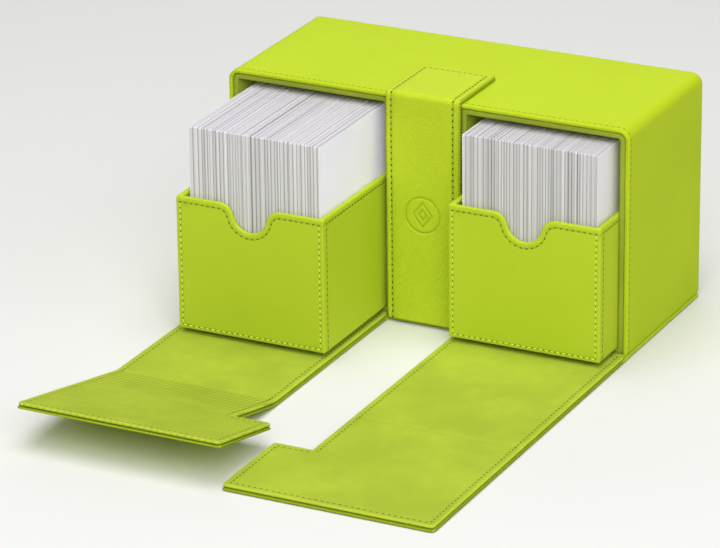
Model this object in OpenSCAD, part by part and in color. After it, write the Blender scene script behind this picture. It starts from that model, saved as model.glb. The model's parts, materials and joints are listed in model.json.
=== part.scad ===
// Twin card case: one wide case with two open-front bays, a padded strap down the
// middle, two card trays that slide out, and two folding lids hinged at the front.
// Millimetres. +X right, +Y back, +Z up. Origin: centre of the case's underside.

/* [Cards] */
// Width of a sleeved card, front to back in its tray
card_w = 66; // [56:0.5:90]
// Height of a sleeved card
card_h = 91.5; // [80:0.5:130]
// Thickness of a deck
deck_t = 63.5; // [40:0.5:100]
// Packets that a deck is squared up from
packet_count = 10; // [2:1:16]
// How far every third packet stands back from its neighbours
packet_inset = 0.4; // [0:0.1:1]
// Gap between a deck and the tray front that it stands against
deck_front_gap = 0.2; // [0.1:0.1:1]
// Gap between a deck and the tray side that it leans on
deck_side_gap = 0.5; // [0.2:0.1:1.2]
// Spare width inside a tray, beside its deck
deck_spare_w = 3.3; // [1.5:0.1:10]
// Spare depth inside a tray, behind its deck
deck_spare_d = 5.5; // [2:0.1:15]
// Gap between a deck and the roof of its bay
deck_head_gap = 2.6; // [1:0.1:8]

/* [Case] */
// Radius of the two long top edges
edge_r = 5; // [3:0.5:7]
// Stiff board inside every wall of the case
wall_board_t = 2; // [1.5:0.1:2.5]
// Covering skin of the case
case_skin_t = 1.4; // [1:0.1:2]
// Skin sheet under the case
base_skin_t = 1.7; // [1.2:0.1:2.5]
// Soft lining of the two bays
bay_lining_t = 1; // [0.5:0.1:1.5]
// How far boards and linings stand back from the skin's front rim
rim_recess = 1; // [0.5:0.1:2]

/* [Strap] */
// Width of the strap
strap_w = 36; // [30:1:41]
// Thickness of the padded strap
strap_t = 2.6; // [2:0.1:4]
// Covering skin of the strap
strap_skin_t = 0.6; // [0.4:0.1:0.8]
// Reach of the strap over the top of the case
strap_top_len = 35.6; // [25:0.1:50]
// Height of the strap's lower end above the floor
strap_lift = 1.2; // [0.5:0.1:3]
// Divider front that shows beside the strap
centre_margin = 1.7; // [1.2:0.1:4]

/* [Trays] */
// Height of a tray
tray_h = 62; // [50:0.2:80]
// Covering skin of a tray
tray_skin_t = 0.8; // [0.5:0.1:1.2]
// Board in a tray's floor, back and sides
tray_board_t = 1.2; // [1:0.1:2]
// Board in a tray's front
tray_front_board_t = 1.7; // [1.2:0.1:2.5]
// Lining of a tray
tray_lining_t = 0.5; // [0.3:0.1:0.8]
// Radius of the thumb notch
notch_r = 8.3; // [7:0.1:12]
// Depth of the thumb notch
notch_depth = 12; // [11:0.5:13]
// Radius of the notch's two upper corners
notch_lip_r = 7; // [4:0.5:8]
// How far the left tray is pulled out
left_pull = 58.9; // [0:0.1:70]
// How far the right tray is pulled out
right_pull = 18.4; // [0:0.1:70]

/* [Tray clearances] */
// Gap between a tray and each side of its bay
tray_side_gap = 0.3; // [0.2:0.05:0.8]
// Gap under a tray
tray_floor_gap = 0.3; // [0.2:0.05:0.6]
// Gap behind a tray that is pushed in
tray_back_gap = 0.6; // [0.3:0.1:1.5]
// How far a pushed-in tray stands back from the case's front
tray_front_gap = 0.5; // [0.3:0.1:1.5]

/* [Lids] */
// Covering skin of a lid
lid_skin_t = 1; // [0.6:0.1:1.4]
// Board in a lid
lid_board_t = 0.9; // [0.8:0.1:1.5]
// Lining of a lid
lid_lining_t = 0.8; // [0.5:0.1:1.2]
// How far a lid's board stands back between skin and lining
lid_groove = 1; // [0.5:0.1:2]
// How far a fold's roll of skin stands in from the lid's faces
fold_inset = 0.1; // [0.1:0.05:0.3]
// Gap between a closed lid and the case
lid_face_gap = 0.3; // [0.2:0.1:0.8]
// Gap between a lid and the strap
lid_strap_gap = 0.3; // [0.2:0.1:1]
// Half the gap between the two closed lids behind the strap
lid_centre_gap = 0.4; // [0.2:0.1:1]
// Angle at which the left lid's top panel stands up off the floor
left_tip_tilt = 12; // [0:1:30]

/* [Magnets] */
// Diameter of a closing magnet
magnet_d = 10; // [6:0.5:14]
// Distance of the magnets from the case's back and from the lid's side edges
magnet_inset = 14; // [10:0.5:20]

/* [Hidden] */
$fn = 64;
// How far a cut runs past the face that it opens
cut_past = 1;

// Walls
wall_t = case_skin_t + wall_board_t + bay_lining_t;
tray_side_t = tray_skin_t + tray_board_t + tray_lining_t;
tray_front_t = tray_skin_t + tray_front_board_t + tray_lining_t;
lid_t = lid_skin_t + lid_board_t + lid_lining_t;

// Trays are sized round the decks, bays round the trays and the case round its bays
tray_w = deck_t + deck_spare_w + 2 * tray_side_t;
tray_d = tray_front_t + card_w + deck_spare_d + tray_side_t;
bay_in = strap_w / 2 + centre_margin;
bay_out = bay_in + tray_w + 2 * tray_side_gap;
bay_floor = base_skin_t + wall_board_t + bay_lining_t;
tray_bottom = bay_floor + tray_floor_gap;
tray_floor_top = tray_bottom + tray_side_t;
bay_top = tray_floor_top + card_h + deck_head_gap;
case_h = bay_top + wall_t;
half_w = bay_out + wall_t;
case_d = tray_front_gap + tray_d + tray_back_gap + wall_t;

// Case planes
case_front = -case_d / 2;
case_back = case_d / 2;
board_x = half_w - case_skin_t;
board_top = case_h - case_skin_t;
board_front = case_front + rim_recess;
board_back = case_back - case_skin_t;
bay_back = case_back - wall_t;
divider_in = bay_in - bay_lining_t - wall_board_t;

// Strap profile
strap_front = case_front - strap_t;
strap_end = case_front + strap_top_len;
strap_top = case_h + strap_t;

// Trays
tray_in = bay_in + tray_side_gap;
tray_out = tray_in + tray_w;
tray_top = tray_bottom + tray_h;

// Lids: hinge and crease lie in the middle of the lid's thickness
hinge_z = lid_t / 2;
hinge_y = case_front - lid_face_gap - lid_t / 2;
crease_y = hinge_y - (case_h + lid_face_gap);
tip_len = case_back - hinge_y;
tip_end = crease_y - tip_len;
fold_r = lid_t / 2 - fold_inset;
fold_gap = lid_t / 2 + lid_face_gap;
lid_in = strap_w / 2 + lid_strap_gap;
lid_front_start = hinge_y - fold_r;
lid_front_end = crease_y + fold_gap;
tip_start = crease_y - fold_gap;
notch_y = crease_y - (strap_end + lid_strap_gap - hinge_y);
magnet_x = [lid_in + magnet_inset, half_w - magnet_inset];

// Colours
skin_c = [0.68, 0.80, 0.15];
lining_c = [0.73, 0.82, 0.30];
board_c = [0.55, 0.53, 0.48];
pad_c = [0.86, 0.86, 0.82];
steel_c = [0.75, 0.76, 0.78];
card_c = [0.93, 0.93, 0.92];

// Box between two corners
module block(low, high) {
    translate(low) cube(high - low);
}

// Upright outline of the case with its two rounded top corners
module case_outline(half, low, high, r) {
    translate([-half, low]) square([2 * half, high - low - r]);
    translate([r - half, high - r]) square([2 * (half - r), r]);
    for (s = [-1, 1]) translate([s * (half - r), high - r]) circle(r);
}

// The case outline carried along Y
module case_prism(half, low, high, r, y0, y1) {
    translate([0, y1, 0]) rotate([90, 0, 0]) linear_extrude(y1 - y0)
        case_outline(half, low, high, r);
}

// Space that the case's skin leaves for the boards, carried on below by extra
module inside_skin(y0, y1, extra = 0) {
    case_prism(board_x, base_skin_t - extra, board_top, edge_r - case_skin_t, y0, y1);
}

module base_skin() {
    color(skin_c) block([-half_w, case_front, 0], [half_w, case_back, base_skin_t]);
}

module base_board() {
    color(board_c) block([-board_x, board_front, base_skin_t],
        [board_x, board_back, base_skin_t + wall_board_t]);
}

// Discs of the closing magnets over both lids' closed places
module magnet_discs(low, high) {
    for (s = [-1, 1], x = magnet_x)
        translate([s * x, case_back - magnet_inset, low]) cylinder(d = magnet_d, h = high - low);
}

module case_magnets() {
    color(steel_c) magnet_discs(board_top - wall_board_t, board_top);
}

module top_board() {
    color(board_c) difference() {
        intersection() {
            block([-board_x, board_front, board_top - wall_board_t], [board_x, board_back, board_top]);
            inside_skin(board_front, board_back);
        }
        magnet_discs(board_top - wall_board_t - cut_past, board_top + cut_past);
    }
}

module back_board() {
    color(board_c) intersection() {
        block([-board_x, board_back - wall_board_t, base_skin_t + wall_board_t],
            [board_x, board_back, board_top - wall_board_t]);
        inside_skin(board_front, board_back);
    }
}

module side_board(s) {
    x0 = s < 0 ? -board_x : board_x - wall_board_t;
    color(board_c) intersection() {
        block([x0, board_front, base_skin_t + wall_board_t],
            [x0 + wall_board_t, board_back - wall_board_t, board_top - wall_board_t]);
        inside_skin(board_front, board_back);
    }
}

module divider(s) {
    x0 = s < 0 ? -divider_in - wall_board_t : divider_in;
    color(board_c) block([x0, board_front, base_skin_t + wall_board_t],
        [x0 + wall_board_t, board_back - wall_board_t, board_top - wall_board_t]);
}

module centre_front_board() {
    color(board_c) block([-divider_in, case_front, base_skin_t + wall_board_t],
        [divider_in, board_front + wall_board_t, board_top - wall_board_t]);
}

// Skin over the sides, top and back, open at the front and underneath
module case_skin() {
    color(skin_c) difference() {
        case_prism(half_w, base_skin_t, case_h, edge_r, case_front, case_back);
        inside_skin(case_front - cut_past, board_back, cut_past);
    }
}

// Lining of one bay: floor, roof, both sides and back
module bay_lining(s) {
    x0 = s < 0 ? -bay_out : bay_in;
    x1 = s < 0 ? -bay_in : bay_out;
    t = bay_lining_t;
    color(lining_c) difference() {
        block([x0 - t, board_front, bay_floor - t], [x1 + t, bay_back + t, bay_top + t]);
        block([x0, board_front - cut_past, bay_floor], [x1, bay_back, bay_top]);
    }
}

// Side view of the strap, drawn in from its faces by an inset
module strap_profile(inset) {
    r = strap_t - inset;
    y0 = strap_front + inset;
    y1 = strap_end - inset;
    z0 = strap_lift + inset;
    z1 = strap_top - inset;
    difference() {
        union() {
            polygon([[y0, z0], [y1, z0], [y1, z1], [y0 + r, z1], [y0, z1 - r]]);
            translate([y0 + r, z1 - r]) circle(r);
        }
        translate([case_front - inset, 0]) square([strap_top_len + cut_past, case_h + inset]);
    }
}

// The strap's side view carried across its width
module strap_form(inset) {
    half = strap_w / 2 - inset;
    translate([-half, 0, 0]) rotate([90, 0, 90]) linear_extrude(2 * half) strap_profile(inset);
}

module strap_pad() {
    color(pad_c) strap_form(strap_skin_t);
}

module strap_skin() {
    color(skin_c) difference() {
        strap_form(0);
        strap_form(strap_skin_t);
    }
}

// Distance that a tray stands out of the case, and its left side
function pull(s) = s < 0 ? left_pull : right_pull;
function tray_x(s) = s < 0 ? -tray_out : tray_in;
function tray_y(s) = case_front - pull(s);

// Box inside a tray, measured in from its outer faces
module tray_block(s, side, front, back, bottom, top) {
    block([tray_x(s) + side, tray_y(s) + front, tray_bottom + bottom],
        [tray_x(s) + tray_w - side, tray_y(s) + tray_d - back, tray_top - top]);
}

// Thumb notch through the tray's front: a round cut with rounded upper corners that
// meet it tangentially. The notch may be no deeper than the sum of the two radii.
module thumb_notch(s, grow) {
    reach = notch_r + notch_lip_r;
    centre_z = tray_top - notch_depth + notch_r;
    lip_z = tray_top - notch_lip_r;
    lip_x = sqrt(reach * reach - pow(lip_z - centre_z, 2));
    meet_z = centre_z + (lip_z - centre_z) * (notch_r + grow) / reach;
    translate([tray_x(s) + tray_w / 2, tray_y(s) + tray_front_t + cut_past, 0]) rotate([90, 0, 0])
        linear_extrude(tray_front_t + 2 * cut_past) {
            translate([0, centre_z]) circle(notch_r + grow);
            difference() {
                translate([-lip_x, meet_z]) square([2 * lip_x, tray_top + cut_past - meet_z]);
                for (m = [-1, 1]) translate([m * lip_x, lip_z]) circle(notch_lip_r - grow);
            }
        }
}

module tray_floor(s) {
    color(board_c) tray_block(s, tray_skin_t, tray_skin_t, tray_skin_t, tray_skin_t,
        tray_h - tray_skin_t - tray_board_t);
}

module tray_front(s) {
    wall = tray_skin_t + tray_board_t;
    color(board_c) difference() {
        block([tray_x(s) + tray_skin_t, tray_y(s) + tray_skin_t, tray_bottom + wall],
            [tray_x(s) + tray_w - tray_skin_t, tray_y(s) + tray_skin_t + tray_front_board_t,
                tray_top - tray_skin_t]);
        thumb_notch(s, tray_skin_t);
    }
}

module tray_back(s) {
    wall = tray_skin_t + tray_board_t;
    color(board_c) block([tray_x(s) + tray_skin_t, tray_y(s) + tray_d - wall, tray_bottom + wall],
        [tray_x(s) + tray_w - tray_skin_t, tray_y(s) + tray_d - tray_skin_t, tray_top - tray_skin_t]);
}

// One side of a tray: m is -1 for its left side and 1 for its right side
module tray_side(s, m) {
    wall = tray_skin_t + tray_board_t;
    x0 = m < 0 ? tray_x(s) + tray_skin_t : tray_x(s) + tray_w - wall;
    color(board_c) block([x0, tray_y(s) + tray_skin_t + tray_front_board_t, tray_bottom + wall],
        [x0 + tray_board_t, tray_y(s) + tray_d - wall, tray_top - tray_skin_t]);
}

// Skin round the outside, over the rims and under the floor of a tray
module tray_skin(s) {
    wall = tray_skin_t + tray_board_t;
    color(skin_c) difference() {
        tray_block(s, 0, 0, 0, 0, 0);
        tray_block(s, wall, tray_skin_t + tray_front_board_t, wall, wall, -cut_past);
        difference() {
            tray_block(s, tray_skin_t, tray_skin_t, tray_skin_t, tray_skin_t, tray_skin_t);
            thumb_notch(s, tray_skin_t);
        }
        thumb_notch(s, 0);
    }
}

// Lining of the inside of a tray, up to its rims
module tray_lining(s) {
    wall = tray_skin_t + tray_board_t;
    front = tray_skin_t + tray_front_board_t;
    color(lining_c) difference() {
        tray_block(s, wall, front, wall, wall, 0);
        tray_block(s, tray_side_t, tray_front_t, tray_side_t, tray_side_t, -cut_past);
        thumb_notch(s, 0);
    }
}

// Deck of cards on edge, stacked along X and leaning on the tray's right side
module deck(s) {
    right = tray_x(s) + tray_w - tray_side_t - deck_side_gap;
    front = tray_y(s) + tray_front_t + deck_front_gap;
    t = deck_t / packet_count;
    color(card_c) for (i = [0 : packet_count - 1])
        translate([right - deck_t + i * t, front + packet_inset * (i * 2 % 3) / 2, tray_floor_top])
            cube([t, card_w, card_h]);
}

// Plan of a lid's front panel: s is the side, inset draws its free edges in
module lid_plan(s, inset) {
    x0 = lid_in + inset;
    x1 = half_w - inset;
    polygon([[s * x0, lid_front_start], [s * x1, lid_front_start], [s * x1, lid_front_end],
        [s * x0, lid_front_end]]);
}

// Plan of a lid's top panel, which widens behind the strap
module tip_plan(s, inset) {
    x0 = lid_in + inset;
    x1 = half_w - inset;
    xc = lid_centre_gap + inset;
    polygon([[s * x0, tip_start], [s * x1, tip_start], [s * x1, tip_end + inset],
        [s * xc, tip_end + inset], [s * xc, notch_y - inset], [s * x0, notch_y - inset]]);
}

module lid_layer(s, low, t, inset) {
    translate([0, 0, low]) linear_extrude(t) lid_plan(s, inset);
}

// Swings a flat top panel up about its crease
module tip_tilt(s) {
    tilt = s < 0 ? left_tip_tilt : 0;
    translate([0, crease_y, hinge_z]) rotate([-tilt, 0, 0]) translate([0, -crease_y, -hinge_z])
        children();
}

// Discs of one lid's closing magnets, over the case's own when the lid is closed
module tip_discs(s, low, t) {
    for (x = magnet_x) translate([s * x, tip_end + magnet_inset, low])
        cylinder(d = magnet_d, h = t);
}

module lid_skin(s) {
    color(skin_c) lid_layer(s, 0, lid_skin_t, 0);
}

module lid_board(s) {
    color(board_c) lid_layer(s, lid_skin_t, lid_board_t, lid_groove);
}

module lid_lining(s) {
    color(lining_c) lid_layer(s, lid_skin_t + lid_board_t, lid_lining_t, 0);
}

// Soft fold along an axis, with the web that joins it to the lid's front panel
module fold(s, y, web_y) {
    web_t = lid_board_t;
    color(skin_c) translate([s * (lid_in + half_w) / 2, 0, 0]) {
        translate([0, y, hinge_z]) rotate([0, 90, 0])
            cylinder(r = fold_r, h = half_w - lid_in, center = true);
        translate([-(half_w - lid_in) / 2, min(y, web_y), hinge_z - web_t / 2])
            cube([half_w - lid_in, abs(y - web_y), web_t]);
    }
}

module lid_hinge(s) {
    fold(s, hinge_y, lid_front_start);
}

module lid_crease(s) {
    fold(s, crease_y, lid_front_end);
}

module tip_skin(s) {
    color(skin_c) tip_tilt(s) linear_extrude(lid_skin_t) tip_plan(s, 0);
}

module tip_board(s) {
    color(board_c) tip_tilt(s) difference() {
        translate([0, 0, lid_skin_t]) linear_extrude(lid_board_t) tip_plan(s, lid_groove);
        tip_discs(s, 0, lid_t);
    }
}

module tip_lining(s) {
    color(lining_c) tip_tilt(s) translate([0, 0, lid_skin_t + lid_board_t])
        linear_extrude(lid_lining_t) tip_plan(s, 0);
}

module tip_magnets(s) {
    color(steel_c) tip_tilt(s) tip_discs(s, lid_skin_t, lid_board_t);
}

base_skin();
base_board();
top_board();
back_board();
side_board(-1);  // left_board
side_board(1);  // right_board
divider(-1);  // left_divider
divider(1);  // right_divider
centre_front_board();
case_skin();
bay_lining(-1);  // left_bay_lining
bay_lining(1);  // right_bay_lining
strap_pad();
strap_skin();
case_magnets();
tray_floor(-1);  // left_tray_floor
tray_front(-1);  // left_tray_front
tray_back(-1);  // left_tray_back
tray_side(-1, -1);  // left_tray_outer_side
tray_side(-1, 1);  // left_tray_inner_side
tray_skin(-1);  // left_tray_skin
tray_lining(-1);  // left_tray_lining
deck(-1);  // left_deck
tray_floor(1);  // right_tray_floor
tray_front(1);  // right_tray_front
tray_back(1);  // right_tray_back
tray_side(1, 1);  // right_tray_outer_side
tray_side(1, -1);  // right_tray_inner_side
tray_skin(1);  // right_tray_skin
tray_lining(1);  // right_tray_lining
deck(1);  // right_deck
lid_board(-1);  // left_lid_board
lid_skin(-1);  // left_lid_skin
lid_lining(-1);  // left_lid_lining
lid_hinge(-1);  // left_lid_hinge
lid_crease(-1);  // left_lid_crease
tip_board(-1);  // left_tip_board
tip_skin(-1);  // left_tip_skin
tip_lining(-1);  // left_tip_lining
tip_magnets(-1);  // left_tip_magnets
lid_board(1);  // right_lid_board
lid_skin(1);  // right_lid_skin
lid_lining(1);  // right_lid_lining
lid_hinge(1);  // right_lid_hinge
lid_crease(1);  // right_lid_crease
tip_board(1);  // right_tip_board
tip_skin(1);  // right_tip_skin
tip_lining(1);  // right_tip_lining
tip_magnets(1);  // right_tip_magnets
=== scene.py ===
"""Dresses a lime card case: covers, linings, strap, trays, decks, folding lids and stitching."""

import json
import math

import bmesh
import bpy
import numpy as np
from bpy.props import FloatProperty, FloatVectorProperty, IntProperty, PointerProperty
from mathutils import Matrix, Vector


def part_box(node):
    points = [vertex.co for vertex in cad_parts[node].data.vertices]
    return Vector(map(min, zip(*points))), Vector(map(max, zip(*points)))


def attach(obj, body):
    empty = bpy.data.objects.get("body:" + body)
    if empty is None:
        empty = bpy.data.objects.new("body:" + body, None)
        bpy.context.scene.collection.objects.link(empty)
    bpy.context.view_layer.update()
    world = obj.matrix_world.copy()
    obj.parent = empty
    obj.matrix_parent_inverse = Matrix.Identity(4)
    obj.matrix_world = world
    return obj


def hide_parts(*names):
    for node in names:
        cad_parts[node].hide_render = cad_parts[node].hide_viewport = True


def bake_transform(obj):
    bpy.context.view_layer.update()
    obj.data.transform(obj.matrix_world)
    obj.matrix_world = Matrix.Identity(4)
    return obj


bl_info = {
    "name": "Card Case Dresser",
    "version": (1, 0, 0),
    "blender": (4, 5, 0),
    "location": "3D View > Sidebar > Card Case",
    "description": "Skins, linings, stitching, decks and a studio for a card case with two trays",
    "category": "Object",
}

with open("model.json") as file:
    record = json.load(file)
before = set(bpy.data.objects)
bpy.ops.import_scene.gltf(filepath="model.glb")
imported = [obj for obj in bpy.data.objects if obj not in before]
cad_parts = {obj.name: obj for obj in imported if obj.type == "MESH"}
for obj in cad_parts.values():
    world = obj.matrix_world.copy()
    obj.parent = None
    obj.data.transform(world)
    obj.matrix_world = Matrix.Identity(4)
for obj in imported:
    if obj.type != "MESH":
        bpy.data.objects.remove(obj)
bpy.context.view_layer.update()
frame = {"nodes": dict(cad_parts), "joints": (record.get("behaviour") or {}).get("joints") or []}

MM = 0.001
SIDES = (("left", -1), ("right", 1))


def box_mm(node):
    """Lowest and highest corner of a solid at rest, in millimetres."""
    low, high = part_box(node)
    return np.array(low) / MM, np.array(high) / MM


# Sizes read from the solids, in millimetres
CASE_LOW, CASE_HIGH = box_mm("case_skin")
STRAP_LOW, STRAP_HIGH = box_mm("strap_skin")
BOARD_HIGH = box_mm("top_board")[1]
LINING_LOW, LINING_HIGH = box_mm("right_bay_lining")
LID_LOW, LID_HIGH = box_mm("right_lid_skin")
TIP_LOW = box_mm("right_tip_skin")[0]
LID_TOP = box_mm("right_lid_lining")[1][2]
FRONT, BACK = CASE_LOW[1], CASE_HIGH[1]
BASE_T, TOP, HALF_W = CASE_LOW[2], CASE_HIGH[2], CASE_HIGH[0]
SKIN_T = HALF_W - BOARD_HIGH[0]
STRAP_T = STRAP_HIGH[2] - TOP
PIVOTS = {j["name"]: np.array(j["pos_m"]) / MM for j in frame["joints"] if "pos_m" in j}
HINGE_Y = PIVOTS["right_lid_hinge"][1]
CREASE_S = HINGE_Y - PIVOTS["right_lid_crease"][1]
TIP_TILT = {"left": math.radians(12), "right": 0.0}

# Sizes that only the covering has, in millimetres
EDGE_R = 5.0
LINING_T = 1.0
BACK_EDGE_R = 1.5
TUCK_IN, TUCK_UP = 1.15, 1.9
RIM_SEAM = 2.5
BASE_EDGE_R = 0.5
BAR_FRONT, BAR_BULGE, BAR_BACK, BAR_GAP = 1.35, 0.75, 1.75, 0.22
STRAP_SEAM = 2.75
STRAP_RIGHT_SEAM = 3.5
STRAP_BEND_R = STRAP_T / 2
LID_SEAM = 3.1
LID_STRAP_GAP = 0.3
STRAP_PAD = 0.45
STRAP_EDGE_R = 0.9
STRAP_LIFT = 0.04
STRAP_DIP = 0.26
MARK_S, MARK_R = 51.5, 8.2
MARK_W, MARK_H, MARK_INNER, MARK_STEEP = 4.4, 5.8, 0.4, 3.5
SKIN_SHEET_T = 0.85
SUEDE_SHEET_T = 1.3
SUEDE_INSET = 0.3
SEAM_DIP = 0.13
SEAM_BELL = 0.5
FAR, PAST_RIM = 99.0, 9.0
CREASE_HALF = 7.0
VALLEY_DEPTH, VALLEY_HALF = 0.3, 1.1
CORE_LOW, CORE_HIGH, CORE_INSET, CORE_HALF = 1.0, 1.8, 1.0, 3.2
SHEET_CORNER_R = 2.0
TRAY_WALL = 2.5
TRAY_FRONT_WALL = 3.0
TRAY_CORNER_R = 0.6
TRAY_INNER_R = 0.4
TRAY_HEM = 0.5
TRAY_ROLL = 0.9
TRAY_FRONT_SEAM = 2.0
TRAY_BOTTOM_SEAM = 1.6
TRAY_TOP_SEAM = 2.7
TRAY_SIDE_SEAM = 3.4
NOTCH_R = 8.3
NOTCH_DEPTH = 12.0
NOTCH_LIP_R = 7.0
FLAT_FROM = 20.0

# Decks: a card's width, cut corner and play, and the gaps between packets, in millimetres. The
# shades grey the card edges at random, partly as painted shade among the sleeves; the dark shades,
# those of the cards that begin a packet, are painted shade of the gap before the packet.
CARD_W, CARD_CORNER, DECK_PLAY = 66.0, 0.35, 0.3
PACKET_SIZES, PACKET_SHARES = (2, 3, 4), (0.45, 0.4, 0.15)
GAP_SHAPE, GAP_SCALE, GAP_MOST = 0.6, 0.08, 0.15
PAINTED_GAP_SHADES, PALE_SHADES = (0.0, 0.25), (0.55, 0.85)

# Seams: thread finish, thread length as a share of the pitch, thread width and height, hole
# finish, hole length and width, in millimetres before the widths that the user sets scale them
SEAMS = {
    "front": (0, 0.66, 0.66, 0.4, 3, 0.75, 0.52),
    # The rim's stitches use the olive thread where the front's use the bright one, as painted shade
    # under the rolled rim.
    "rim": (1, 0.6, 0.5, 0.25, 3, 1.3, 0.7),
    "wall": (1, 0.5, 0.45, 0.2, 2, 1.35, 0.55),
    "case": (1, 0.5, 0.45, 0.2, 2, 1.0, 0.5),
    "strap": (1, 0.6, 0.55, 0.25, 2, 0.95, 0.78),
    "lid": (4, 0.55, 0.5, 0.2, 2, 1.1, 0.62),
    "under": (1, 0.7, 0.6, 0.12, 3, 0.9, 0.5),
}
THREAD_W = 0.6
HOLE_W = 0.7
SEAM_FINISHES = ("bright_thread", "olive_thread", "needle_hole", "soft_hole", "suede_thread")

# Lamps: name, azimuth and elevation in degrees, distance and width in metres
LAMPS = (("top", 0, 84, 1.5, 1.2), ("fill", 27, 38, 1.9, 1.3), ("right", 80, 30, 1.7, 1.0),
         ("rear", 205, 25, 1.9, 1.3))
LAMP_AIM = np.array([0.0, -0.06, 0.05])

# Camera: azimuth, elevation and roll in degrees, place in metres, focal length in pixels
CAMERA_TURN, CAMERA_RISE, CAMERA_ROLL = 26.889, 21.999, -0.694
CAMERA_PLACE = (0.7840, -1.65111, 0.74793)
FOCAL_PIXELS, PHOTO_WIDTH = 4383.1, 720
SENSOR_MM = 36.0

# Floor: half its width and how far it lies below the case's foot, in metres
FLOOR_SIZE, FLOOR_DROP = 6.0, 0.0004


# Surfaces


def ease(t):
    """Smooth step: 3t^2 - 2t^3 with t held between 0 and 1."""
    t = np.clip(t, 0, 1)
    return t * t * (3 - 2 * t)


def round_steps(radius, count=4):
    """Distances in from an edge at which a quarter circle of that radius is sampled."""
    return radius * (1 - np.cos(np.linspace(0, math.pi / 2, count + 1)))


def lines_between(low, high, low_steps, high_steps, gap):
    """Grid lines from low to high: given steps in from each end and an even gap between."""
    a, b = low + max(low_steps), high - max(high_steps)
    middle = np.linspace(a, b, max(2, int(round((b - a) / gap)) + 1))
    every = np.concatenate([low + np.array(low_steps), middle, high - np.array(high_steps)])
    return np.unique(np.round(every, 5))


def joined(*parts):
    """Coordinates joined to points, each one stretched to the shape of the others."""
    return np.stack(np.broadcast_arrays(*parts), -1)


def grid_faces(rows, columns, wrap=False):
    """Quads of a grid of rows by columns, joined round along the columns if wrap is set."""
    r = np.arange(rows - 1)[:, None] * columns
    c = np.arange(columns if wrap else columns - 1)[None, :]
    n = (c + 1) % columns
    return joined(r + c, r + n, r + columns + n, r + columns + c).reshape(-1, 4)


def run_along(x, y):
    """Length of a path up to each of its points."""
    return np.concatenate([[0], np.cumsum(np.hypot(np.diff(x), np.diff(y)))])


def shell(points, quads, uv, seam=FAR, caps=(), material=0, edge=FAR):
    """One surface: points and uv in mm, quads, distances to its seam and to its edge, and caps
    of many corners."""
    points = np.asarray(points, float).reshape(-1, 3)
    marks = [np.broadcast_to(np.ravel(mark), len(points)) for mark in (seam, edge)]
    return {"points": points, "quads": np.reshape(quads, (-1, 4)), "marks": np.stack(marks, -1),
            "uv": np.reshape(uv, (-1, 2)), "caps": caps, "material": material}


def lofted(rings, uv, seam=FAR, material=0, turned=False):
    """A closed surface through rings of points, with a cap on the first ring and on the last."""
    rows, columns = rings.shape[:2]
    caps = [np.arange(columns), (rows - 1) * columns + np.arange(columns)]
    back = 0 if turned else 1
    caps[back] = caps[back][::-1]
    return shell(rings, grid_faces(rows, columns, wrap=True), uv, seam, caps, material)


def set_marks(mesh, **marks):
    """Stores a number for each point of a mesh under each name, for its material to read."""
    for name, values in marks.items():
        layer = mesh.attributes.new(name, "FLOAT", "POINT")
        layer.data.foreach_set("value", np.asarray(values, np.float32))


def points_of(piece):
    """The points of a piece's mesh, in millimetres."""
    co = np.empty(len(piece.data.vertices) * 3)
    piece.data.vertices.foreach_get("co", co)
    return co.reshape(-1, 3) / MM


def add_object(name, data):
    """A new object in the scene, at the origin."""
    made = bpy.data.objects.new(name, data)
    bpy.context.scene.collection.objects.link(made)
    return made


def make_piece(name, shells, look, materials, sharp=35):
    """Welds the shells into one mesh: corners closer than 0.001 mm become one, and quads that
    lose a corner become triangles. Each corner keeps the uv of its own surface."""
    points = np.concatenate([s["points"] for s in shells])
    uv = np.concatenate([s["uv"] for s in shells])
    marks = np.concatenate([s["marks"] for s in shells])
    starts = np.cumsum([0] + [len(s["points"]) for s in shells])
    _, first, same = np.unique(np.round(points, 3), axis=0, return_index=True, return_inverse=True)
    same = same.reshape(-1)
    faces, corners, slots = [], [], []
    for s, start in zip(shells, starts):
        quads = s["quads"] + start
        welded = same[quads]
        lost = welded == np.roll(welded, -1, axis=1)
        for count in (0, 1):
            rows = lost.sum(1) == count
            keep = ~lost[rows]
            faces += welded[rows][keep].reshape(-1, 4 - count).tolist()
            corners.append(quads[rows][keep])
            slots += [s["material"]] * int(rows.sum())
        for cap in s["caps"]:
            cap = np.array(cap) + start
            cap = cap[same[cap] != np.roll(same[cap], -1)]
            faces.append(same[cap].tolist())
            corners.append(cap)
            slots.append(s["material"])
    mesh = bpy.data.meshes.new(name)
    mesh.from_pydata((points[first] * MM).tolist(), [], faces)
    layer = mesh.uv_layers.new(name="cloth")
    corners = uv[np.concatenate(corners)] * MM
    layer.data.foreach_set("uv", corners.reshape(-1).astype(np.float32))
    set_marks(mesh, seam=marks[first, 0], edge=marks[first, 1])
    for finish in materials:
        mesh.materials.append(finishes(look)[finish])
    mesh.polygons.foreach_set("material_index", slots)
    mesh.polygons.foreach_set("use_smooth", [True] * len(faces))
    form = bmesh.new()
    form.from_mesh(mesh)
    bmesh.ops.recalc_face_normals(form, faces=form.faces)
    form.to_mesh(mesh)
    form.free()
    mesh.set_sharp_from_angle(angle=math.radians(sharp))
    piece = add_object(name, mesh)
    return piece


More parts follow.
